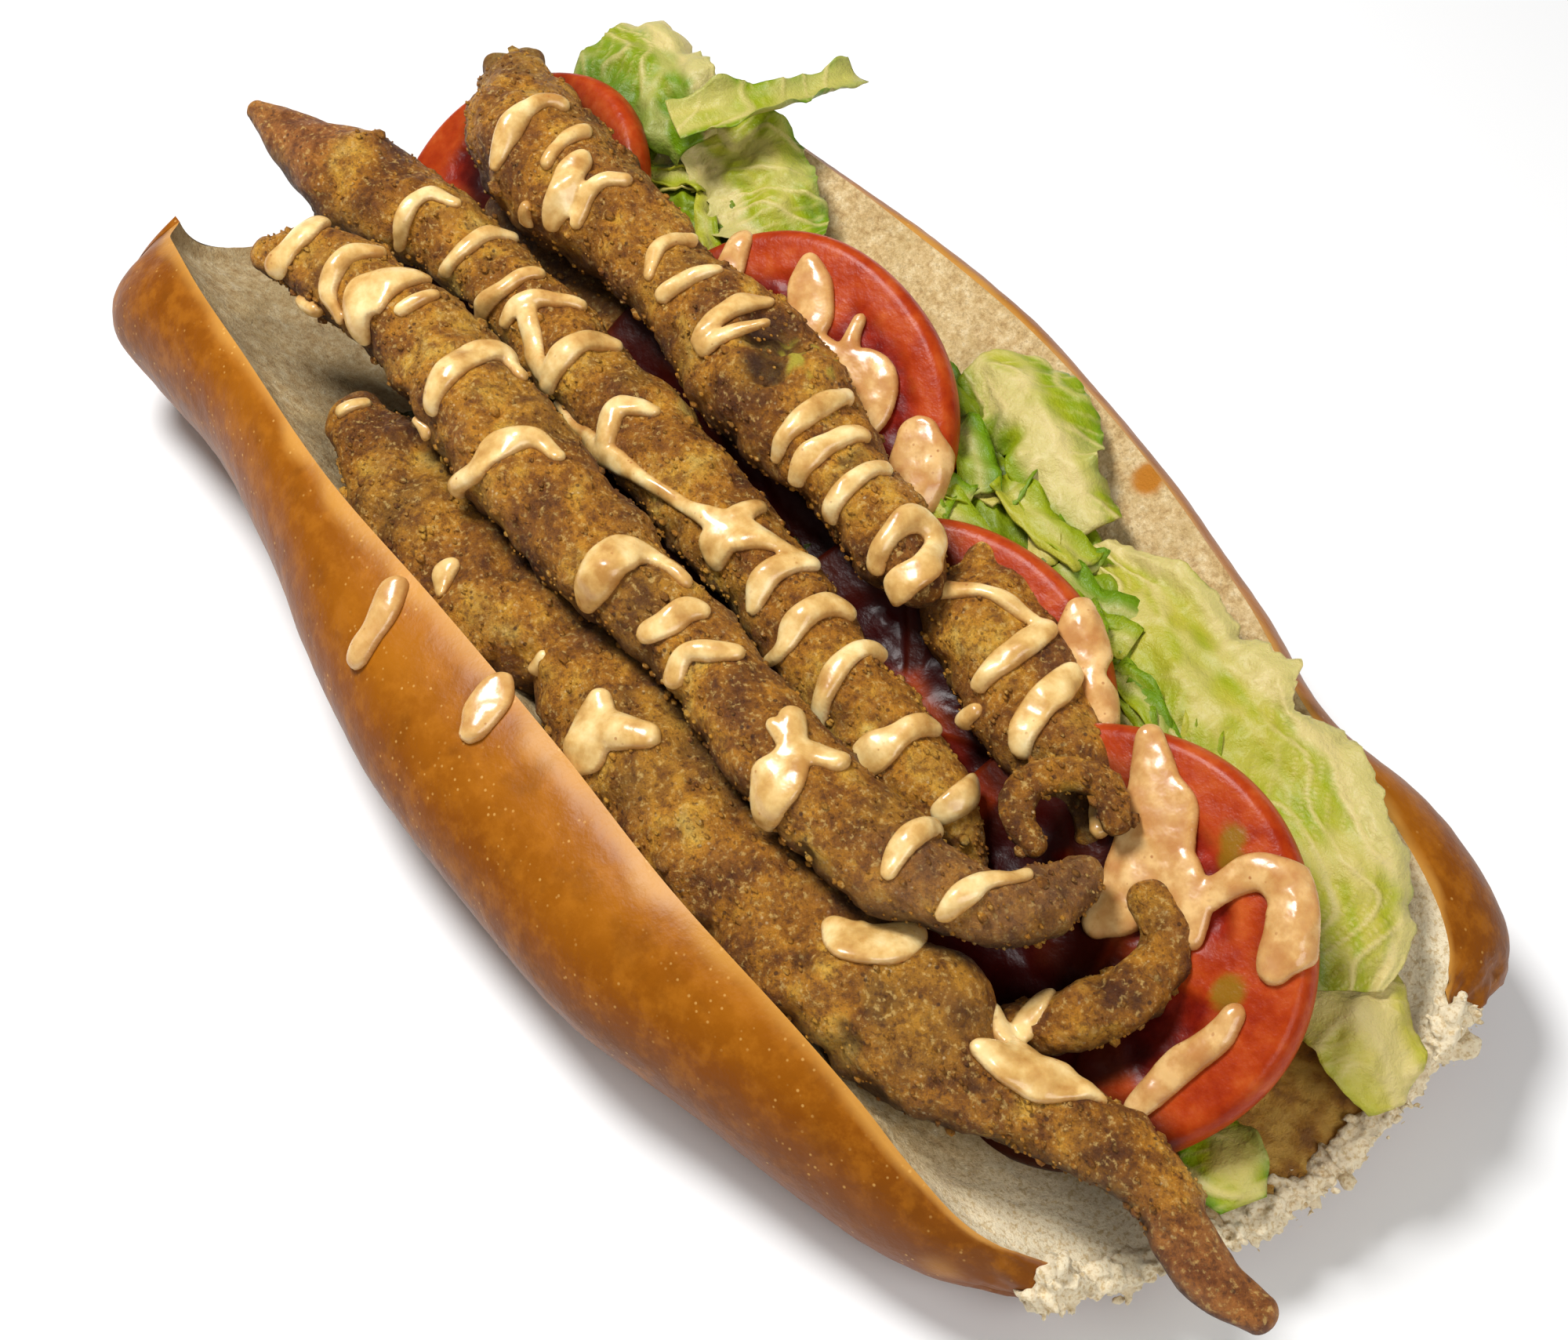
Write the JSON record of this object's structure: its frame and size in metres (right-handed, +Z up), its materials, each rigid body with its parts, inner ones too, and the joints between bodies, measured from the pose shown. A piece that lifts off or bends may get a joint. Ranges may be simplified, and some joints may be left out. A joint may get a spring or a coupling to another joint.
{
  "type": "fish hoagie",
  "caption": "Long split bread roll lying open, filled with shredded lettuce, leaning tomato slices and fried fish strips under lines of creamy sauce.",
  "frame": {"origin": "middle of the flat underside the roll rests on", "axes": "+X along the roll towards its torn end, +Y across it towards the open half, +Z up"},
  "size_m": [0.3364, 0.1695, 0.0696],
  "materials": {
    "crust": "glossy",
    "crumb": "matte",
    "lettuce": "satin",
    "tomato": "wet",
    "fish": "granular",
    "sauce": "glossy"
  },
  "bodies": {
    "root": {"roll": "crust", "lettuce_bed": "lettuce", "leaf_far": "lettuce", "shred_far": "lettuce", "leaf_crumpled": "lettuce", "leaf_middle": "lettuce", "leaf_long": "lettuce", "leaf_torn_end": "lettuce", "leaf_green_tip": "lettuce", "tomato_end": "tomato", "tomato_far": "tomato", "tomato_middle": "tomato", "tomato_near": "tomato", "fish_left_top": "fish", "fish_middle": "fish", "fish_right_far": "fish", "fish_right_near": "fish", "fish_left_near": "fish", "fish_left_far": "fish", "fish_knob": "fish", "fish_hook": "fish", "fish_curl": "fish"}
  },
  "joints": []
}
